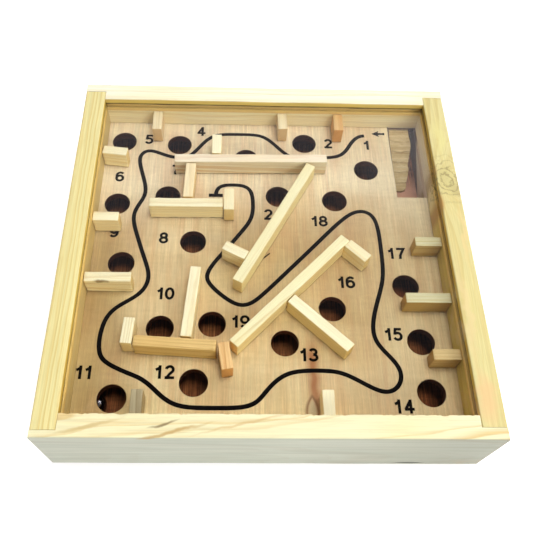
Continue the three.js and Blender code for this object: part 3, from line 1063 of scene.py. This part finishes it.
def build_numbers(material):
    """The hole numbers in a plain bold face, all in one printed piece."""
    width = DIGIT_WIDTH_MM - DIGIT_STROKE_MM
    height = DIGIT_HEIGHT_MM - DIGIT_STROKE_MM
    bm = bmesh.new()
    for number, (x, y) in NUMBERS_MM.items():
        strokes, left = [], 0.0
        for digit in str(number):
            drawn = [[Vector((a * width, b * height)) for a, b in stroke]
                     for stroke in DIGIT_STROKES[digit]]
            start = min(p.x for stroke in drawn for p in stroke)
            end = max(p.x for stroke in drawn for p in stroke)
            strokes += [[p + Vector((left - start, 0.0)) for p in stroke] for stroke in drawn]
            left += end - start + DIGIT_STROKE_MM + (DIGIT_GAP_MM if digit != "1" else DIGIT_GAP_MM * 0.8)
        right = max(p.x for stroke in strokes for p in stroke)
        shift = Vector((x - right / 2, y - height / 2))
        for order, stroke in enumerate(strokes):
            closed = len(stroke) > 2 and (stroke[0] - stroke[-1]).length < 1e-6
            line = [p + shift for p in (stroke[:-1] if closed else stroke)]
            ribbon(bm, line, DIGIT_STROKE_MM / 2, ink_level() + order * STROKE_STEP, closed)
    add_print("printed_numbers", bm, material)


# ---------- camera, floor and light

CAMERA_MM = (-18.9, -203.3, 369.2)
CAMERA_HEADING = 3.24
CAMERA_DOWN = 60.58
CAMERA_ROLL = 3.49
CAMERA_LENS = 41.43
CAMERA_SHIFT_X = 0.041
SOFT_PATCH_DIRECTION = (0.28, 0.63, 0.7225)


def build_camera():
    data = bpy.data.cameras.new("camera")
    data.lens = CAMERA_LENS
    data.shift_x = CAMERA_SHIFT_X
    data.clip_start = 0.01
    data.clip_end = 20
    camera = add_object("camera", data)
    heading, down = math.radians(CAMERA_HEADING), math.radians(CAMERA_DOWN)
    look = Vector((math.sin(heading) * math.cos(down), math.cos(heading) * math.cos(down), -math.sin(down)))
    turn = look.to_track_quat("-Z", "Y") @ Quaternion((0, 0, 1), math.radians(CAMERA_ROLL))
    camera.rotation_mode = "QUATERNION"
    camera.rotation_quaternion = turn
    camera.location = Vector(CAMERA_MM) * MM
    bpy.context.scene.camera = camera


def area_light(name, place, target, size, energy, colour, seen_in_gloss):
    data = bpy.data.lights.new(name, "AREA")
    data.shape = "RECTANGLE"
    data.size, data.size_y = size
    data.energy = energy
    data.color = colour
    light = add_object(name, data)
    light.location = place
    light.rotation_mode = "QUATERNION"
    light.rotation_quaternion = (Vector(target) - Vector(place)).to_track_quat("-Z", "Y")
    light.visible_glossy = seen_in_gloss
    light.visible_camera = False


def build_world():
    """Soft surroundings: bluish and dim in front, dark overhead but for a patch that the cover mirrors."""
    world = bpy.data.worlds.new("studio")
    bpy.context.scene.world = world
    world.use_nodes = True
    g = Graph(world.node_tree)
    x, y, z = g.split(g.value("ShaderNodeTexCoord", output="Generated"))
    colour = g.mix(g.rise(y, -0.6, 0.5), (0.42, 0.45, 0.52), (1.34, 1.22, 1.30))
    fade = g.ramp(z, 0.50, 0.91, 1.0, 0.01) * g.ramp(x, -0.8, 0.8, 0.85, 1.1)
    spread = g.vector("DISTANCE", g.join(x, y, z), SOFT_PATCH_DIRECTION)
    patch = g.fall(spread, 0.02, 0.11, 0.75)
    colour = g.mix(1.0, g.dim(colour, fade), g.join(patch, patch, patch), "ADD")
    g.show("ShaderNodeBackground", {"Color": colour}, "ShaderNodeOutputWorld")


def build_floor(material):
    bm = bmesh.new()
    bmesh.ops.create_grid(bm, x_segments=4, y_segments=4, size=4.0)
    mesh = mesh_from(bm, "studio_floor")
    mesh.materials.append(material)
    floor = add_object("studio_floor", mesh)
    floor.location.z = -0.0002


def build_studio():
    build_world()
    build_floor(floor_material())
    middle = (0, 0, 0.03)
    board_left = (-0.096, -0.092, 0.02)
    area_light("key", (0.16, 0.06, 1.20), middle, (0.5, 0.5), 10.0, (1.0, 0.98, 0.93), False)
    area_light("fill", (0.45, -0.85, 0.60), middle, (0.5, 0.35), 6.3, (1.0, 0.97, 0.92), False)
    area_light("window_strip", (1.93, 1.24, 1.92), board_left, (0.35, 2.2), 9.0, (1, 1, 1), True)
    bpy.context.scene.view_settings.view_transform = "Standard"


# ---------- assembly


def rail_materials():
    return {
        "left_rail": pine("pine_left_rail", "Y", (0.69, 0.63, 0.30), (0.58, 0.42, 0.12), ring=2.7,
                          pith=(-190.0, 40.0), wobble=2.2, contrast=0.75, seed=2.0,
                          paint=inner_tones("X", (1.0, 0.87, 0.78))),
        "right_rail": pine("pine_right_rail", "Y", (0.62, 0.565, 0.265), (0.50, 0.38, 0.12), ring=3.6,
                           pith=(92.0, 30.0), drift=(0.05, 0.0), wobble=9.0, contrast=0.6, seed=5.0,
                           knots=(((111.5, 46.0, 57.0), 3.6, 1.6, 13.0, 0.22),
                                  ((118.0, 36.0, 56.0), 4.5, 1.4, 15.0, 0.4)),
                           paint=right_rail_tones),
        "front_rail": pine("pine_front_rail", "X", (0.74, 0.71, 0.45), (0.60, 0.44, 0.18), ring=4.2,
                           pith=(-84.0, 15.0), drift=(0.13, 0.02), wobble=6.0, contrast=0.65, seed=7.0,
                           paint=front_rail_tones),
        "back_rail": pine("pine_back_rail", "X", (0.86, 0.84, 0.66), (0.70, 0.60, 0.34), ring=4.0,
                          pith=(160.0, 20.0), wobble=3.0, contrast=0.6, seed=9.0,
                          paint=inner_tones("Y", (1.08, 0.98, 0.78), (0.08, 0.035, 0.02), 0.95)),
    }


def build_everything():
    build_rails(rail_materials())
    # the board's hole walls and cut edges are near black: painted shade inside the holes
    build_board(plywood("board_veneer", "maze_board", (0.76, 0.61, 0.34), (0.66, 0.49, 0.25),
                        (0.62, 0.40, 0.20), (0.05, 0.012, 0.004), seed=4.0, grit=0.22,
                        paint=board_tones, rim_tone=(0.66, 0.52, 0.34)))
    floor_veneer = plywood("floor_veneer", "tray_floor", (0.38, 0.145, 0.055), (0.24, 0.08, 0.03),
                           (0.18, 0.05, 0.02), (0.20, 0.09, 0.04), seed=8.0, roughness=0.6, grit=0.95,
                           paint=floor_tones)
    refine_cad_node("tray_floor", floor_veneer, 0.2)
    base_veneer = plywood("base_veneer", "base_panel", (0.40, 0.35, 0.27), (0.33, 0.28, 0.21),
                          (0.34, 0.27, 0.19), (0.24, 0.21, 0.16), seed=3.0, roughness=0.7)
    refine_cad_node("base_panel", base_veneer, 0.5)
    refine_cad_node("clear_cover", cover_material(), 0.3)
    build_bars()
    build_ramp(pine("pine_ramp", "X", (0.68, 0.54, 0.29), (0.44, 0.29, 0.11), ring=3.0, pith=(10.0, 30.0),
                    wobble=1.2, contrast=0.5, seed=13.0, roughness=0.75, fibre=0.25, paint=ramp_tones))
    build_ball(steel_material())
    ink = ink_material()
    build_route(ink)
    build_marks(ink)
    build_numbers(ink)


build_camera()
build_everything()
build_studio()
